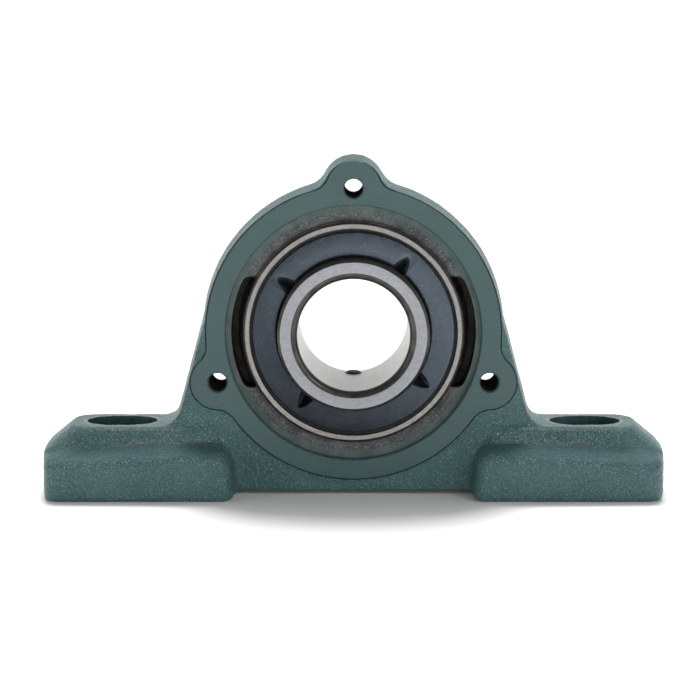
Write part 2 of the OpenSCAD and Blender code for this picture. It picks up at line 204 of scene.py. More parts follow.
class Finish:
    # a material with its noise and colour nodes, all read from the object's own coordinates
    def __init__(self, name):
        self.material = bpy.data.materials.new(name)
        self.material.use_nodes = True
        self.nodes = self.material.node_tree.nodes
        self.links = self.material.node_tree.links
        self.shader = self.nodes["Principled BSDF"]
        coordinates = self.nodes.new("ShaderNodeTexCoord")
        self.place = coordinates.outputs["Object"]
        self.facing = coordinates.outputs["Normal"]

    def link(self, output, target):
        self.links.new(output, target)

    def noise(self, size, detail=2.0, rough=0.5, stretch=None):
        # size is the width of a grain in mm
        node = self.nodes.new("ShaderNodeTexNoise")
        node.inputs["Scale"].default_value = 1 / (size * mm)
        node.inputs["Detail"].default_value = detail
        node.inputs["Roughness"].default_value = rough
        place = self.place
        if stretch:
            mapping = self.nodes.new("ShaderNodeMapping")
            mapping.inputs["Scale"].default_value = stretch
            self.link(place, mapping.inputs["Vector"])
            place = mapping.outputs["Vector"]
        self.link(place, node.inputs["Vector"])
        return node.outputs["Fac"]

    def cells(self, size):
        node = self.nodes.new("ShaderNodeTexVoronoi")
        node.feature = "SMOOTH_F1"
        node.inputs["Scale"].default_value = 1 / (size * mm)
        self.link(self.place, node.inputs["Vector"])
        return node.outputs["Distance"]

    def rings(self, pitch, distortion):
        # fine lines round the shaft
        node = self.nodes.new("ShaderNodeTexWave")
        node.wave_type = "RINGS"
        node.rings_direction = "Y"
        node.inputs["Scale"].default_value = 1 / (pitch * mm) / 3.2
        node.inputs["Distortion"].default_value = distortion
        node.inputs["Detail Scale"].default_value = 40
        self.link(self.place, node.inputs["Vector"])
        return node.outputs["Fac"]

    def paintedLightGradient(self, x, z, reach):
        # painted highlight and painted shade: 0 to 1 across the piece along a slanting line, lighter towards
        # one side and darker towards the other
        node = self.nodes.new("ShaderNodeVectorMath")
        node.operation = "DOT_PRODUCT"
        node.inputs[1].default_value = (x, 0, z)
        self.link(self.place, node.inputs[0])
        return self.reach(node.outputs["Value"], -reach * mm, reach * mm)

    def glintFacing(self, upright, leaning, level):
        # the painted highlights' share by facing: one value for upright faces, one for those that lean back
        # and one for level ones
        node = self.nodes.new("ShaderNodeSeparateXYZ")
        self.link(self.facing, node.inputs[0])
        rise = self.reach(node.outputs["Z"], 0.1, 0.4, upright, leaning)
        return self.times(rise, self.reach(node.outputs["Z"], 0.8, 0.97, 1.0, level / leaning))

    def attribute(self, name):
        node = self.nodes.new("ShaderNodeAttribute")
        node.attribute_name = name
        return node.outputs["Fac"]

    def reach(self, value, low, high, first=0.0, last=1.0):
        node = self.nodes.new("ShaderNodeMapRange")
        for socket, number in zip(("From Min", "From Max", "To Min", "To Max"), (low, high, first, last)):
            node.inputs[socket].default_value = number
        self.link(value, node.inputs["Value"])
        return node.outputs["Result"]

    def times(self, a, b):
        return self.sum(a, b, "MULTIPLY")

    def sum(self, a, b, operation="ADD"):
        node = self.nodes.new("ShaderNodeMath")
        node.operation = operation
        for i, value in enumerate((a, b)):
            if isinstance(value, float):
                node.inputs[i].default_value = value
            else:
                self.link(value, node.inputs[i])
        return node.outputs[0]

    def blend(self, amount, first, second):
        node = self.nodes.new("ShaderNodeMix")
        node.data_type = "RGBA"
        self.link(amount, node.inputs["Factor"])
        for socket, colour in (("A", first), ("B", second)):
            target = [s for s in node.inputs if s.name == socket and s.type == "RGBA"][0]
            if isinstance(colour, tuple):
                target.default_value = (*colour, 1)
            else:
                self.link(colour, target)
        return [s for s in node.outputs if s.type == "RGBA"][0]

    def bump(self, height, depth):
        node = self.nodes.new("ShaderNodeBump")
        node.inputs["Distance"].default_value = depth * mm
        self.link(height, node.inputs["Height"])
        self.link(node.outputs["Normal"], self.shader.inputs["Normal"])

    def set(self, **values):
        names = {"metal": "Metallic", "rough": "Roughness", "gloss": "Specular IOR Level",
                 "coat": "Coat Weight", "coatRough": "Coat Roughness"}
        for key, value in values.items():
            self.shader.inputs[names[key]].default_value = value

    def colour(self, output):
        self.link(output, self.shader.inputs["Base Color"])

    def roughness(self, output):
        self.link(output, self.shader.inputs["Roughness"])


bareIron = (0.27, 0.235, 0.225)  # shows where the paint is rubbed off


def greenPaint(name, tones, grain, depth, gloss, paintedGlintAmount, cells=0.0, wearsAndGlintFacing=True):
    # tones are the dark, the light, the grain's and the painted highlight's green; grain and depth are in mm.
    # The painted highlights are light specks that stand in for glints
    paint = Finish(name)
    patches = paint.reach(paint.noise(14.0, 3.0), 0.35, 0.65)
    tone = paint.blend(patches, tones[0], tones[1])
    speck = paint.reach(paint.noise(grain * 0.8, 2.0), 0.45, 0.75)
    tone = paint.blend(speck, tone, tones[2])
    # painted highlight: light specks for glints, more of them on faces that lean back
    paintedGlint = paint.reach(paint.noise(grain * 0.55, 2.0, 0.7), 0.6, 0.74)
    # this switch gives both the painted highlights' weighting by facing and the rubbed edges
    if wearsAndGlintFacing:
        paintedGlint = paint.times(paintedGlint, paint.glintFacing(0.85, 1.9, 0.4))
    tone = paint.blend(paint.times(paintedGlint, paintedGlintAmount), tone, tones[3])
    if wearsAndGlintFacing:
        broken = paint.reach(paint.noise(0.9, 3.0), 0.38, 0.6)
        tone = paint.blend(paint.times(paint.attribute("worn"), broken), tone, bareIron)
    paint.colour(tone)
    paint.roughness(paint.reach(paint.noise(grain * 1.7), 0.3, 0.7, 0.36, 0.56))
    paint.set(gloss=gloss, coat=0.12, coatRough=0.25)
    height = paint.noise(grain, 3.0, 0.6)
    if cells:
        height = paint.sum(height, paint.times(paint.cells(grain * 1.5), cells))
    paint.bump(height, depth)
    return paint.material


def steel(name, tones, metal, rough, grain=0.25, depth=0.004, rings=None, spots=None, paintedLightSlant=None):
    # tones are two shades that the surface wanders between, or, with a slant given, the painted shade and the
    # painted highlight at its two sides.
    # rings is the pitch of the lathe's lines in mm, spots the tone of bright specks
    finish = Finish(name)
    patches = finish.reach(finish.noise(3.0, 4.0), 0.35, 0.65)
    if paintedLightSlant:
        # painted light: the tone runs from painted shade on one side to a painted highlight on the other
        patches = finish.sum(finish.paintedLightGradient(*paintedLightSlant), finish.times(patches, 0.08))
    tone = finish.blend(patches, tones[0], tones[1])
    if spots:
        tone = finish.blend(finish.reach(finish.noise(grain * 1.3, 3.0, 0.7), 0.52, 0.7), tone, spots)
    height = finish.noise(grain, 3.0, 0.6)
    if rings:
        lines = finish.rings(rings, 1.5)
        tone = finish.blend(finish.times(lines, 0.35), tone, tones[1])
        height = finish.sum(height, lines)
    finish.colour(tone)
    finish.roughness(finish.reach(finish.noise(grain * 4, 3.0), 0.3, 0.7, rough * 0.85, rough * 1.15))
    finish.set(metal=metal)
    finish.bump(height, depth)
    return finish.material


def groundSteel(name, tones, rough, across):
    # hair lines that run along the shaft, and a soft sheen
    finish = Finish(name)
    hair = finish.noise(0.9, 4.0, 0.7, across)
    tone = finish.blend(finish.reach(hair, 0.3, 0.7), tones[0], tones[1])
    finish.colour(tone)
    finish.roughness(finish.reach(finish.noise(0.5, 2.0), 0.3, 0.7, rough * 0.9, rough * 1.1))
    finish.set(metal=1.0)
    finish.bump(hair, 0.003)
    return finish.material


# the last tone of each paint is its painted highlight
castGreen = greenPaint(
    "castGreen",
    ((0.024, 0.066, 0.067), (0.038, 0.089, 0.09), (0.066, 0.13, 0.13), (0.34, 0.44, 0.44)),
    grain=0.55, depth=0.6, gloss=0.4, paintedGlintAmount=0.85, cells=0.5)
faceGreen = greenPaint(
    "faceGreen",
    ((0.024, 0.055, 0.055), (0.029, 0.062, 0.062), (0.039, 0.076, 0.076), (0.1, 0.155, 0.155)),
    grain=0.32, depth=0.03, gloss=0.45, paintedGlintAmount=0.3)
# painted shade: a darker green for the slots and the groove round the machined faces
slotPaintedShade = greenPaint(
    "slotPaintedShade",
    ((0.01, 0.032, 0.032), (0.018, 0.047, 0.047), (0.036, 0.08, 0.08), (0.1, 0.16, 0.16)),
    grain=0.6, depth=0.1, gloss=0.4, paintedGlintAmount=0.5, cells=0.5, wearsAndGlintFacing=False)
floorSteel = steel(
    "floorSteel", ((0.05, 0.073, 0.069), (0.095, 0.125, 0.12)),
    metal=0.25, rough=0.45, grain=0.35, depth=0.05, rings=0.36, spots=(0.13, 0.16, 0.155))
lipIron = steel(
    "lipIron", ((0.035, 0.042, 0.042), (0.085, 0.096, 0.096)),
    metal=0.3, rough=0.45, grain=0.3, depth=0.12, spots=(0.24, 0.25, 0.25))
leadIron = steel(
    "leadIron", ((0.055, 0.062, 0.062), (0.13, 0.14, 0.14)),
    metal=0.3, rough=0.45, grain=0.3, depth=0.12, spots=(0.3, 0.31, 0.31))
seatSteel = steel(
    "seatSteel", ((0.12, 0.12, 0.115), (0.2, 0.2, 0.19)),
    metal=0.7, rough=0.4, grain=0.3, depth=0.01, rings=0.5)
# painted shade: a near-black finish for the insides of holes and notches and the inner ring's outside beside
# the slingers
paintedShadeCut = steel(
    "paintedShadeCut", ((0.012, 0.012, 0.01), (0.025, 0.025, 0.022)), metal=0.2, rough=0.6, grain=0.5, depth=0.05)
ringFace = groundSteel("ringFace", ((0.25, 0.258, 0.276), (0.33, 0.339, 0.36)), 0.34, (1, 0.2, 1))
boreSteel = groundSteel("boreSteel", ((0.54, 0.537, 0.523), (0.62, 0.616, 0.602)), 0.46, (1, 0.15, 1))
outerSteel = groundSteel("outerSteel", ((0.22, 0.213, 0.2), (0.34, 0.33, 0.315)), 0.36, (1, 0.2, 1))
oxide = steel(
    "oxide", ((0.04, 0.039, 0.036), (0.07, 0.069, 0.065)), metal=0.75, rough=0.34, grain=0.4, depth=0.006)
raceSteel = steel(
    "raceSteel", ((0.5, 0.5, 0.5), (0.62, 0.62, 0.61)),
    metal=1.0, rough=0.2, grain=0.3, depth=0.002, rings=0.3)
# blackened steel with painted light: lighter at the upper right, darker at the lower left
slingerBlackAndPaintedLight = steel(
    "slingerBlackAndPaintedLight", ((0.015, 0.019, 0.024), (0.09, 0.11, 0.134)),
    metal=0.9, rough=0.3, grain=0.22, depth=0.0015, paintedLightSlant=(0.45, 0.9, 24))
# painted shade: the dents' hollows get a darker black than the sheet, with the same painted slant
dentPaintedShade = steel(
    "dentPaintedShade", ((0.006, 0.008, 0.01), (0.026, 0.032, 0.039)),
    metal=0.9, rough=0.26, grain=0.22, depth=0.002, paintedLightSlant=(0.45, 0.9, 24))
screwBlack = steel(
    "screwBlack", ((0.03, 0.03, 0.032), (0.06, 0.06, 0.063)), metal=0.8, rough=0.38, grain=0.3, depth=0.006)
ballSteel = steel(
    "ballSteel", ((0.62, 0.63, 0.65), (0.72, 0.73, 0.74)), metal=1.0, rough=0.12, grain=0.4, depth=0.0005)
cageSteel = steel(
    "cageSteel", ((0.42, 0.4, 0.35), (0.52, 0.5, 0.44)), metal=1.0, rough=0.34, grain=0.4, depth=0.004)
rivetSteel = steel(
    "rivetSteel", ((0.3, 0.29, 0.27), (0.42, 0.41, 0.38)), metal=1.0, rough=0.38, grain=0.3, depth=0.006)
shieldSteel = steel(
    "shieldSteel", ((0.3, 0.3, 0.3), (0.4, 0.4, 0.4)),
    metal=1.0, rough=0.4, grain=0.3, depth=0.004, rings=0.4)
sealRubber = steel(
    "sealRubber", ((0.012, 0.012, 0.012), (0.022, 0.022, 0.021)),
    metal=0.0, rough=0.6, grain=0.2, depth=0.006)
print("finishes mixed")


# Sizes that the frame gives, in mm
def top(node, axis):
    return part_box(node)[1][axis] / mm


def bottom(node, axis):
    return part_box(node)[0][axis] / mm


baseZ = bottom("housing", 2)
sphereR = top("outer_ring", 0)
innerR = top("inner_ring", 0)
slingerR = top("front_slinger", 0)

# Housing, its sizes in mm and its angles in degrees from +x towards +z
housing = {
    "voxel": 0.6,  # fineness of the cast skin
    "softenSteps": 5,
    "valleySteps": 14,  # rounding of the inner corners
    "valleyReach": 2.6,
    "browSteps": 20,  # rounding of the feet's long upper edges
    "browReach": 3.4,
    "waveSize": 2.6,  # unevenness of the casting
    "waveHeight": 0.1,
    "grainSize": 1.1,
    "grainHeight": 0.09,
    "seatGap": 0.03,
    "leadIn": 0.85,
    "lipWidth": 1.0,
    "lipHeight": 0.3,
    "recessStep": 2.47,
    "recessDepth": 2.5,
    "faceRim": 4.3,
    "faceWidth": 19.6,
    "plateDepth": 1.0,  # thickness of the machined faces
    "rimChamfer": 0.25,
    "grooveWidth": 0.32,
    "grooveDepth": 0.25,
    "screwOffset": 3.8,
    "screwHole": 4.2,
    "threadTop": 4.9,
    "threadPitch": 0.8,
    "screwAngles": (90, 200, 340),
    "lugR": 6.0,
    "lugBlend": 5.0,
    "notchDepth": 1.3,
    "notchHeight": 25.0,
    "notchCorner": 2.0,
    "slotX": 52.5,
    "slotWidth": 13.0,
    "slotLength": 16.0,
    "padZ": -21.15,
    "padSide": 10.4,
    "footTop": (-23.35, -25.15),  # at the foot's inner end, and footReach further out
    "footInner": 28.6,
    "footReach": 40.0,
    "footEdge": 17.8,
    "footEnd": 66.0,
    "ledgeStep": 0.8,  # drop at once beside the pad
    "ledgeFall": 1.7,  # further drop over ledgeWidth
    "ledgeWidth": 8.6,
    "ledgeFoot": 7.0,  # how far below and above the ledge the drop fades out
    "ledgeHead": 2.6,
}
seatR = sphereR + housing["seatGap"]
recessR = seatR + housing["recessStep"]
faceR = recessR + housing["faceRim"]
screwR = recessR + housing["screwOffset"]
faceY = housing["faceWidth"] / 2
floorY = faceY - housing["recessDepth"]
lipY = floorY + housing["lipHeight"]
lipR = seatR + housing["lipWidth"]
overrun = 2.0


def lobedOutline(discR, lobeR, middleR, blendR, angles):
    # a disc with a round lug at each angle, the inner corners filled with blendR
    outer = discR + blendR
    cosine = (outer ** 2 + middleR ** 2 - (lobeR + blendR) ** 2) / (2 * middleR * outer)
    half = math.degrees(math.acos(cosine))
    points = []
    for i, angle in enumerate(angles):
        lobe = polar(middleR, angle)
        sides = []
        for side in (-1, 1):
            centre = polar(outer, angle + side * half)
            towards = math.degrees(math.atan2(lobe[1] - centre[1], lobe[0] - centre[0]))
            home = angle + side * half + 180
            sides.append((centre, home, home + ((towards - home + 180) % 360 - 180)))
        (c1, home1, end1), (c2, home2, end2) = sides
        points += arc(c1, blendR, home1, end1, 8)[1:]
        start = (end1 + 180) % 360
        span = (end2 + 180 - start) % 360
        points += arc(lobe, lobeR, start, start + span, 28)[1:]
        points += arc(c2, blendR, end2, home2, 8)[1:]
        following = angles[(i + 1) % len(angles)]
        gap = (following - half - (angle + half)) % 360
        count = max(2, round(gap / 2))
        points += arc((0, 0), discR, angle + half, angle + half + gap, count)[1:]
    return points


def slotTool(name, side, grow, low, high):
    # a round-ended bar that stands on end in a foot's slot
    width = housing["slotWidth"] + 2 * grow
    reach = (housing["slotLength"] - housing["slotWidth"]) / 2
    bpy.ops.mesh.primitive_cylinder_add(
        vertices=96, radius=width / 2 * mm, depth=(high - low) * mm,
        location=(0, 0, (high + low) / 2 * mm))
    obj = bpy.context.object
    obj.name = name
    applyPlace(obj)
    for vertex in obj.data.vertices:
        vertex.co.x += (math.copysign(reach, vertex.co.x) + side * housing["slotX"]) * mm
    return obj


def share(value):
    # held between 0 and 1
    return min(1.0, max(0.0, value))


def folded(vertex):
    # a vertex's place in mm, brought into the quarter where x and y are positive
    x, y, z = (c / mm for c in vertex.co)
    return abs(x), abs(y), z


def ledgeZ(x):
    # a foot's top beside its pad falls a little towards the end
    inner, outer = housing["footTop"]
    return inner + (outer - inner) * (x - housing["footInner"]) / housing["footReach"]


def valleyShare(x, y, z):
    # how near a point is to the inner corners where a foot meets the wall or its pad
    reach = housing["valleyReach"]
    inwards = x - housing["footInner"]
    rise = z - ledgeZ(x)
    if rise > 2.5:
        return 0.0
    near = math.hypot(inwards + 1.6, y - faceY + 0.6)
    if inwards > 0:
        near = min(near, math.hypot(y - housing["padSide"] - 1.5, rise + housing["ledgeStep"]))
    return max(0.0, 1 - near / reach)


def browShare(x, y, z):
    # how near a point is to the long upper edges of a foot, which are well rounded
    drop = 1.2 + housing["ledgeStep"] + housing["ledgeFall"]
    edge = math.hypot(y - housing["footEdge"], z - ledgeZ(x) + drop)
    return max(0.0, 1 - edge / housing["browReach"]) * share((housing["footEnd"] - x) / 4)


def ledgeDrop(x, y, z):
    # how far the ledges beside a pad fall away to the front and to the rear
    out = y - housing["padSide"]
    inwards = x - housing["footInner"] + 2
    rise = z - ledgeZ(x)
    if out <= 0 or inwards < 0 or rise > housing["ledgeHead"]:
        return 0.0
    drop = housing["ledgeStep"] * min(1.0, out / 1.2) + housing["ledgeFall"] * out / housing["ledgeWidth"]
    below = share((rise + housing["ledgeFoot"]) / housing["ledgeFoot"])
    above = share((housing["ledgeHead"] - rise) / 2.2)
    return drop * below ** 2 * above * min(1.0, inwards / 5)


def castBlank():
    # the rough casting: a copy of the solid with its machined openings filled, then softened and grained
    blank = bpy.data.objects.new("housing_casting", nodes["housing"].data.copy())
    bpy.context.scene.collection.objects.link(blank)
    editAll(blank)
    bpy.ops.mesh.remove_doubles(threshold=0.005 * mm)
    finishEdit()
    fill = 0.4  # the fillers reach this far into the walls of the openings
    fillers = [pin("filler", recessR + fill, 2 * faceY, 0, 0, 128)]
    for angle in housing["screwAngles"]:
        fillers.append(pin("filler", housing["screwHole"] / 2 + fill, 2 * faceY, *polar(screwR, angle)))
    for side in (-1, 1):
        fillers.append(slotTool("filler", side, fill, baseZ, housing["padZ"]))
    blank = joinUp("housing_casting", [blank] + fillers)
    blank.data.materials.clear()
    blank.data.materials.append(castGreen)
    remesh = blank.modifiers.new("blank", "REMESH")
    remesh.mode = "VOXEL"
    remesh.voxel_size = housing["voxel"] * mm * 1
    soften = blank.modifiers.new("soften", "SMOOTH")
    soften.factor = 0.5
    soften.iterations = housing["softenSteps"]
    applyModifiers(blank)
    for vertex in blank.data.vertices:
        vertex.co.z -= ledgeDrop(*folded(vertex)) * mm
    for label, shareOf in (("valley", valleyShare), ("brow", browShare)):
        group = blank.vertex_groups.new(name=label)
        for vertex in blank.data.vertices:
            weight = shareOf(*folded(vertex))
            if weight > 0:
                group.add([vertex.index], weight, "REPLACE")
        rounding = blank.modifiers.new(label, "SMOOTH")
        rounding.factor = 0.5
        rounding.iterations = housing[label + "Steps"]
        rounding.vertex_group = label
    for label in ("wave", "grain"):
        texture = bpy.data.textures.new(label, "CLOUDS")
        texture.noise_scale = housing[label + "Size"] * mm
        texture.noise_depth = 1
        displace = blank.modifiers.new(label, "DISPLACE")
        displace.texture = texture
        displace.texture_coords = "LOCAL"
        displace.strength = housing[label + "Height"] * mm
        displace.mid_level = 0.5
    applyModifiers(blank)
    blank.vertex_groups.clear()
    print("blank cast with", len(blank.data.polygons), "faces")
    return blank


def seatTool():
    # turned tool for the cover recesses, the lead-ins and the spherical seat, with a finish for each
    lead = housing["leadIn"]
    leadY = lipY - lead
    ball = math.degrees(math.asin(leadY / seatR))
    rim = housing["rimChamfer"]
    half = [(recessR + rim + overrun, -faceY - overrun), (recessR, -faceY + rim), (recessR, -floorY),
            (lipR, -floorY), (seatR, -lipY), (seatR - lead, -leadY)]
    seat = arc((0, 0), seatR, -ball, ball, 24)
    profile = half + seat + [(r, -y) for r, y in reversed(half)]
    tool = turned("seat tool", profile, 240, "ends")

    def choose(x, y, z, normal):
        r = math.hypot(x, z)
        if abs(y) < leadY:
            return 4
        if r > recessR - 0.1:
            return 0
        if r > lipR:
            return 1
        return 2 if r > seatR else 3

    faceFinish(tool, [faceGreen, floorSteel, lipIron, leadIron, seatSteel], choose)
    return tool


def notchTool():
    # the pair of loading notches, open to the front, their walls in painted shade
    r = seatR + housing["notchDepth"]
    z = housing["notchHeight"] / 2
    c = housing["notchCorner"]
    reach = math.sqrt((r - c) ** 2 - (z - c) ** 2)
    turn = math.degrees(math.atan2(z - c, reach))
    outline = arc((reach, -z + c), c, -90, -turn, 6) + arc((0, 0), r, -turn, turn, 24)[1:-1]
    outline += arc((reach, z - c), c, turn, 90, 6)
    outline += [(-x, -y) for x, y in outline]
    tool = plate("notch tool", outline, -faceY - overrun, 0)
    tool.data.materials.append(paintedShadeCut)
    return tool


def threadTool():
    # a tapped hole right through, with a small countersink at both faces; its thread is painted shade
    s = housing
    low, high, pitch = s["screwHole"] / 2, s["threadTop"] / 2, s["threadPitch"]
    turns = int((2 * faceY - 1) / pitch)
    start = -turns * pitch / 2
    sink = [(high + overrun, -faceY - overrun), (high, -faceY), (low, -faceY + high - low)]
    profile = sink + zigzag(low, high, start, pitch, turns) + [(r, -y) for r, y in reversed(sink)]
    tool = turned("thread tool", profile, 32, "ends")
    faceFinish(tool, [faceGreen, paintedShadeCut], lambda x, y, z, normal: 0 if abs(y) > faceY - high + low else 1)
    return tool


def makeHousing():
    piece = castBlank()
    outline = lobedOutline(faceR, housing["lugR"], screwR, housing["lugBlend"], housing["screwAngles"])
    wider = housing["grooveWidth"]
    grooved = lobedOutline(
        faceR + wider, housing["lugR"] + wider, screwR, housing["lugBlend"] - wider, housing["screwAngles"])
    for side in (-1, 1):
        deep = side * (faceY - housing["plateDepth"] - housing["grooveDepth"])
        room = plate("face room", grooved, side * (faceY + overrun), deep)
        # the groove's walls are painted shade
        room.data.materials.append(slotPaintedShade)
        combine(piece, room, "DIFFERENCE")
        pad = plate("face pad", outline, side * faceY, deep - side * 0.3)  # its back lies inside the casting
        pad.data.materials.append(faceGreen)
        combine(piece, pad, "UNION")
    print("faces machined")
    combine(piece, seatTool(), "DIFFERENCE")
    combine(piece, notchTool(), "DIFFERENCE")
    print("seat bored")
    for angle in housing["screwAngles"]:
        x, z = polar(screwR, angle)
        hole = threadTool()
        hole.location = (x * mm, 0, z * mm)
        applyPlace(hole)
        combine(piece, hole, "DIFFERENCE")
    for side in (-1, 1):
        slot = slotTool("slot", side, 0, baseZ - 5, 0)
        # the slot's walls are painted shade
        slot.data.materials.append(slotPaintedShade)
        combine(piece, slot, "DIFFERENCE")
    smoothOver(piece, 35)
    showPiece(piece, "housing", "painted_casting", "housing")
    print("housing has", len(piece.data.polygons), "faces")
    return piece


# where paint is rubbed off, in mm and in shares of the bare metal
wear = {"below": 0.7, "above": 0.5, "padInner": 38, "padOuter": 61.5, "rimReach": 1.1, "sideShare": 0.6,
        "sideReach": 0.9, "ledgeInner": 32, "ledgeOuter": 58, "ledgeFade": 8, "ledgeShare": 0.42,
        "ledgeReach": 2.2, "ledgeOffset": 1.4}


def wearEdges(piece):
    # the edges of the pads, the rims of the slots and the inner edges of the ledges
    worn = piece.data.attributes.new("worn", "FLOAT", "POINT")
    w = wear
    reach = (housing["slotLength"] - housing["slotWidth"]) / 2
    rimR = housing["slotWidth"] / 2
    for i, vertex in enumerate(piece.data.vertices):
        x, y, z = folded(vertex)
        amount = 0.0
        if -w["below"] < z - housing["padZ"] < w["above"] and w["padInner"] < x < w["padOuter"]:
            rim = abs(math.hypot(max(abs(x - housing["slotX"]) - reach, 0), y) - rimR)
            side = abs(y - housing["padSide"])
            amount = max(0.0, 1 - rim / w["rimReach"], w["sideShare"] - side / w["sideReach"])
        if w["ledgeInner"] < x < w["ledgeOuter"]:
            ledge = math.hypot(y - housing["padSide"] - w["ledgeOffset"], z - ledgeZ(x))
            fade = min(1, (w["ledgeOuter"] - x) / w["ledgeFade"])
            amount = max(amount, (w["ledgeShare"] - ledge / w["ledgeReach"]) * fade)
        worn.data[i].value = amount


castHousing = makeHousing()
wearEdges(castHousing)

# Inner ring
innerRing = {"front": bottom("inner_ring", 1), "rear": top("inner_ring", 1), "bore": 12.5, "mouth": 1.45,
             "chamfer": 0.6, "rearChamfer": 1.0, "grooveR": 4.128, "grooveBottom": 15.531,
             "screwHole": 2.5, "screwMouth": 2.1, "mouthDepth": 0.35, "sink": 0.35, "screwY": 14.8,
             "screwAngles": (270, 150)}


def makeInnerRing():
    s = innerRing
    front, rear, chamfer = s["front"], s["rear"], s["chamfer"]
    mouth = arc((s["bore"] + s["mouth"], front + s["mouth"]), s["mouth"], 180, 270, 10)
    grooveX = s["grooveBottom"] + s["grooveR"]
    grooveHalf = math.degrees(math.acos((grooveX - innerR) / s["grooveR"]))
    groove = arc((grooveX, 0), s["grooveR"], 180 + grooveHalf, 180 - grooveHalf, 12)
    profile = mouth + [(innerR - chamfer, front), (innerR, front + chamfer)] + groove
    profile += [(innerR, rear - chamfer), (innerR - chamfer, rear),
                (s["bore"] + s["rearChamfer"], rear), (s["bore"], rear - s["rearChamfer"])]
    ring = turned("inner_ring_turned", profile, 256)
    mouthEnd = front + s["mouth"] + 0.02

    def choose(x, y, z, normal):
        r = math.hypot(x, z)
        if y < mouthEnd and r < s["bore"] + s["mouth"]:
            return 1
        if abs(normal.y) > 0.98:
            return 0
        if r < s["bore"] + 0.05:
            return 2
        if abs(normal.y) > 0.3 and abs(y) > 6:
            return 1
        # the outside away from the groove is painted shade, for the dark band beside the slingers
        return 3 if abs(y) < 4 else 4

    faceFinish(ring, [ringFace, oxide, boreSteel, raceSteel, paintedShadeCut], choose)
    wall = innerR - s["bore"]
    mouthR, mouthDepth, holeR = s["screwMouth"], s["mouthDepth"], s["screwHole"]
    bored = [(mouthR, -2), (mouthR, mouthDepth), (holeR, mouthDepth + 0.4),
             (holeR, wall - s["sink"]), (holeR + s["sink"] + 1, wall + 1)]
    for angle in s["screwAngles"]:
        hole = turned("hole", bored, 48, "ends")
        # the hole's wall is painted shade, its mouth bright bore steel
        faceFinish(hole, [paintedShadeCut, boreSteel], lambda x, y, z, normal: 1 if y < mouthDepth + 0.3 else 0)
        standUp(hole, angle, s["bore"], s["screwY"])
        combine(ring, hole, "DIFFERENCE")
    smoothOver(ring, 30)
    showPiece(ring, "inner_ring", "ground_steel", "inner_ring")


makeInnerRing()

# Set screws
setScrew = {"tip": 11.85, "length": 5.4, "root": 2.05, "crest": 2.45, "pitch": 0.8, "smooth": 2.65,
            "rim": 1.45, "cup": 1.2, "cupDepth": 0.7, "socket": 2.5, "socketDepth": 2.3}


def makeSetScrew(number, angle):
    s = setScrew
    turns = int((s["length"] - s["smooth"] - 0.3) / s["pitch"])
    end = s["length"]
    profile = [(0.1, s["cupDepth"]), (s["cup"], 0), (s["rim"], 0), (s["root"], 0.55)]
    profile += zigzag(s["root"], s["crest"], s["smooth"], s["pitch"], turns)
    profile += [(s["root"], s["smooth"] + turns * s["pitch"]), (s["crest"], end - 0.4),
                (s["crest"] - 0.1, end - 0.3), (s["root"], end)]
    screw = turned(f"set_screw_{number}_threaded", profile, 64, "ends")
    screw.data.materials.append(screwBlack)
    bpy.ops.mesh.primitive_cylinder_add(
        vertices=6, radius=s["socket"] / math.sqrt(3) * mm, depth=2 * s["socketDepth"] * mm,
        location=(0, end * mm, 0), rotation=(math.pi / 2, 0, 0))
    socket = bpy.context.object
    applyPlace(socket)
    socket.data.materials.append(screwBlack)
    combine(screw, socket, "DIFFERENCE")
    smoothOver(screw, 30)
    standUp(screw, angle, s["tip"], innerRing["screwY"])
    name = f"set_screw_{number}"
    showPiece(screw, name, "black_screw", name)


for number, angle in enumerate(innerRing["screwAngles"], 1):
    makeSetScrew(number, angle)

# Outer ring
outerRing = {"land": 22.109, "grooveTop": 23.489, "grooveR": 4.128, "recess": 23.309, "rim": 23.559,
             "recessDepth": 1.6, "grooveBack": 6.0, "chamfer": 0.33}


def makeOuterRing():
    s = outerRing
    half = top("outer_ring", 1)
    seal = half - s["recessDepth"]
    edgeR = math.sqrt(sphereR ** 2 - half ** 2)
    turn = math.degrees(math.asin((half - s["chamfer"]) / sphereR))
    centre = s["grooveTop"] - s["grooveR"]
    opening = math.degrees(math.acos((s["land"] - centre) / s["grooveR"]))
    front = [(s["land"], -s["grooveBack"]), (s["rim"], -s["grooveBack"]), (s["rim"], -seal),
             (s["recess"], -seal), (s["recess"], -half), (edgeR - s["chamfer"], -half)]
    profile = arc((centre, 0), s["grooveR"], 0, -opening, 8) + front
    profile += arc((0, 0), sphereR, -turn, turn, 32)
    profile += [(r, -y) for r, y in reversed(front)] + arc((centre, 0), s["grooveR"], opening, 0, 8)[:-1]
    ring = turned("outer_ring_turned", profile, 256)

    def choose(x, y, z, normal):
        r = math.hypot(x, z)
        if abs(y) > half - 0.02:
            return 0
        if r > edgeR - s["chamfer"] - 0.01 and abs(y) > half - 0.5:
            return 1
        if r < s["rim"] + 0.01:
            return 1 if abs(y) > 4 else 2
        return 0

    faceFinish(ring, [outerSteel, oxide, raceSteel], choose)
    smoothOver(ring, 30)
    showPiece(ring, "outer_ring", "ground_steel", "outer_ring")


makeOuterRing()

# Slingers
slinger = {"sheet": 0.5, "bend": 0.7, "rim": 0.9, "rimBend": 0.25, "collar": 1.3, "dish": 0.25,
           "edge": 0.12, "edgeAngle": 19, "dentAngles": (54, 144, 234, 324), "dentInner": 16.2,
           "dentDeep": 16.7, "dentDepth": 1.3,
           "dentOutline": ((0, 1.9), (1.9, 1.62), (3.2, 1.22), (4.0, 0.82), (4.5, 0.45), (4.7, 0.15))}


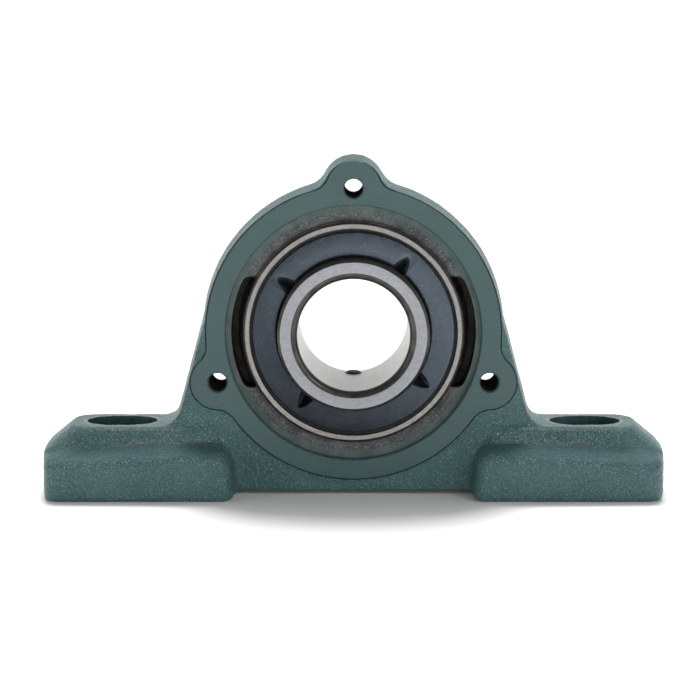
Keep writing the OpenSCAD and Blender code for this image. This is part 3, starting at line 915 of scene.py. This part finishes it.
def dent(name, angle, grow):
    # a pressed hollow: a rounded triangle on the face that runs down to one deep point at the collar.
    # Grown by the sheet it makes the back of the hollow, else it reaches out in front of the face
    s = slinger
    face = bottom("front_slinger", 1)
    slope = s["dish"] / (slingerR - innerR - s["bend"])
    deep = (s["dentDeep"], face + s["dentDepth"] + grow)
    half = [(s["dentInner"] + u + grow * (u > 4), w + grow) for u, w in s["dentOutline"]]
    outline = []
    for u, w in [(u, -w) for u, w in half] + half[::-1]:
        y = face + slope * (u - innerR - s["bend"])
        t = 1 if grow else (face - 0.5 - deep[1]) / (y - deep[1])
        outline.append((deep[0] + (u - deep[0]) * t, deep[1] + (y - deep[1]) * t + grow / 2, w * t))
    bpy.ops.mesh.primitive_cone_add(vertices=len(outline), radius1=1, radius2=0, depth=1)
    obj = bpy.context.object
    obj.name = name
    for vertex in obj.data.vertices:
        if vertex.co.z > 0:
            vertex.co = (deep[0] * mm, deep[1] * mm, 0)
        else:
            vertex.co = [c * mm for c in outline.pop(0)]
    editAll(obj)
    finishEdit()
    obj.rotation_euler = (0, -math.radians(angle), 0)
    applyPlace(obj)
    return obj


def makeSlinger(node, rear=False):
    # both are made at the front, and the rear one is then mirrored
    s = slinger
    face = bottom("front_slinger", 1)
    rim = face + s["dish"]
    inner = innerR + 0.005
    bendX = inner + s["bend"]
    end = face + s["collar"]
    rimBend = s["rimBend"]
    profile = [(inner, end), (inner, face + s["bend"])]
    profile += arc((bendX, face + s["bend"]), s["bend"], 180, 270, 8)[1:]
    profile += arc((slingerR - rimBend, rim + rimBend), rimBend, 270, 360, 5)
    profile += [(slingerR, rim + s["rim"]), (slingerR - s["sheet"], rim + s["rim"]),
                (slingerR - s["sheet"], rim + s["sheet"]), (bendX, face + s["sheet"])]
    profile += arc((bendX, face + s["bend"]), s["bend"] - s["sheet"], 270, 180, 4)[1:]
    profile += [(inner + s["sheet"], end)]
    piece = turned(node + "_pressed", profile, 256)
    piece.data.materials.append(slingerBlackAndPaintedLight)
    for angle in s["dentAngles"]:
        under = dent("under", angle, s["sheet"])
        trim = turned("trim", [(inner, face), (slingerR, face), (slingerR, face + 3), (inner, face + 3)], 256)
        combine(under, trim, "INTERSECT")
        under.data.materials.clear()
        under.data.materials.append(slingerBlackAndPaintedLight)
        combine(piece, under, "UNION")
    for angle in s["dentAngles"]:
        hollow = dent("hollow", angle, 0)
        # the hollow's faces are painted shade
        hollow.data.materials.append(dentPaintedShade)
        combine(piece, hollow, "DIFFERENCE")
    if rear:
        piece.scale = (1, -1, 1)
        applyPlace(piece)
        editAll(piece)
        finishEdit()
    edge = piece.modifiers.new("edge", "BEVEL")
    edge.width = s["edge"] * mm
    edge.segments = 2
    edge.limit_method = "ANGLE"
    edge.angle_limit = math.radians(s["edgeAngle"])
    applyModifiers(piece)
    smoothOver(piece, 24)
    showPiece(piece, "inner_ring", "black_slinger", node)


makeSlinger("front_slinger")
makeSlinger("rear_slinger", rear=True)

# Finishes of the solids that are shown as they are
carried = {
    "cage_front": cageSteel, "cage_rear": cageSteel, "cage_rivets": rivetSteel,
    "front_seal_shield": shieldSteel, "rear_seal_shield": shieldSteel,
    "front_seal_lip": sealRubber, "rear_seal_lip": sealRubber,
}
for name, node in nodes.items():
    finish = ballSteel if name.startswith("ball_") else carried.get(name)
    if finish:
        for slot in node.material_slots:
            slot.material = finish

# Camera, floor and light
view = {"away": 609.8, "above": 77.2, "left": 0.79, "pitch": 7.68, "lens": 139.7}
bpy.ops.object.camera_add(
    location=(-view["left"] * mm, -view["away"] * mm, view["above"] * mm),
    rotation=(math.radians(90 - view["pitch"]), 0, 0))
camera = bpy.context.object
camera.data.lens = view["lens"]
camera.data.sensor_width = 36
camera.data.clip_start = 0.01
bpy.context.scene.camera = camera

bpy.ops.mesh.primitive_plane_add(size=60, location=(0, 0, baseZ * mm - 0.00002))
studioFloor = bpy.context.object
studioFloor.name = "studio_floor"
floorFinish = Finish("floorWhite")
floorFinish.colour(floorFinish.blend(floorFinish.noise(300.0), (0.86, 0.86, 0.86), (0.9, 0.9, 0.9)))
floorFinish.set(rough=0.7, gloss=0.2)
studioFloor.data.materials.append(floorFinish.material)


def softLight(name, place, aim, size, power, mirrored=True):
    # place, aim and size in metres, power in watts. One that isn't mirrored leaves no highlight
    data = bpy.data.lights.new(name, "AREA")
    data.shape = "RECTANGLE"
    data.size, data.size_y = size
    data.energy = power
    lamp = bpy.data.objects.new(name, data)
    bpy.context.scene.collection.objects.link(lamp)
    lamp.location = place
    lamp.visible_glossy = mirrored
    lamp.rotation_euler = (Vector(aim) - Vector(place)).to_track_quat("-Z", "Y").to_euler()


lamps = {
    "overhead": ((0, 0.3, 0.75), (0, 0, 0), (0.7, 0.4), 1.2),
    "key": ((0.5, -0.75, 0.5), (0, 0, 0), (0.16, 0.16), 1.6),
    "left": ((-0.95, -0.6, 0.25), (0, 0, 0), (0.3, 0.4), 1.7),
    "right": ((0.95, -0.6, 0.25), (0, 0, 0), (0.3, 0.4), 1.7),
    "front": ((0.1, -1.2, 0.1), (0, 0, -0.01), (0.8, 0.2), 6.8, False),
}
for name, settings in lamps.items():
    softLight(name, *settings)

# a broad light from above that the metal doesn't mirror
ceiling = {"power": 4.8, "spread": 32, "lean": -34}
data = bpy.data.lights.new("ceiling", "SUN")
data.energy = ceiling["power"]
data.angle = math.radians(ceiling["spread"])
sun = bpy.data.objects.new("ceiling", data)
sun.rotation_euler = (math.radians(ceiling["lean"]), 0, 0)
sun.visible_glossy = False
bpy.context.scene.collection.objects.link(sun)

# the studio round it: bright low down behind, where the metal mirrors it, and dim in front and overhead.
# For each direction its two ends and the brightness at each
surroundings = {"Y": (-0.8, 0.5, 0.1, 1.2), "Z": (0.25, 0.6, 1.0, 0.3)}
world = bpy.data.worlds.new("studio")
world.use_nodes = True
bpy.context.scene.world = world
sky = world.node_tree.nodes
joinNodes = world.node_tree.links.new
split = sky.new("ShaderNodeSeparateXYZ")
joinNodes(sky.new("ShaderNodeTexCoord").outputs["Generated"], split.inputs[0])
glow = sky.new("ShaderNodeMath")
glow.operation = "MULTIPLY"
for i, (axis, numbers) in enumerate(surroundings.items()):
    fade = sky.new("ShaderNodeMapRange")
    for socket, number in zip(("From Min", "From Max", "To Min", "To Max"), numbers):
        fade.inputs[socket].default_value = number
    joinNodes(split.outputs[axis], fade.inputs["Value"])
    joinNodes(fade.outputs["Result"], glow.inputs[i])
joinNodes(glow.outputs[0], sky["Background"].inputs["Color"])
bpy.context.scene.view_settings.view_transform = "Standard"
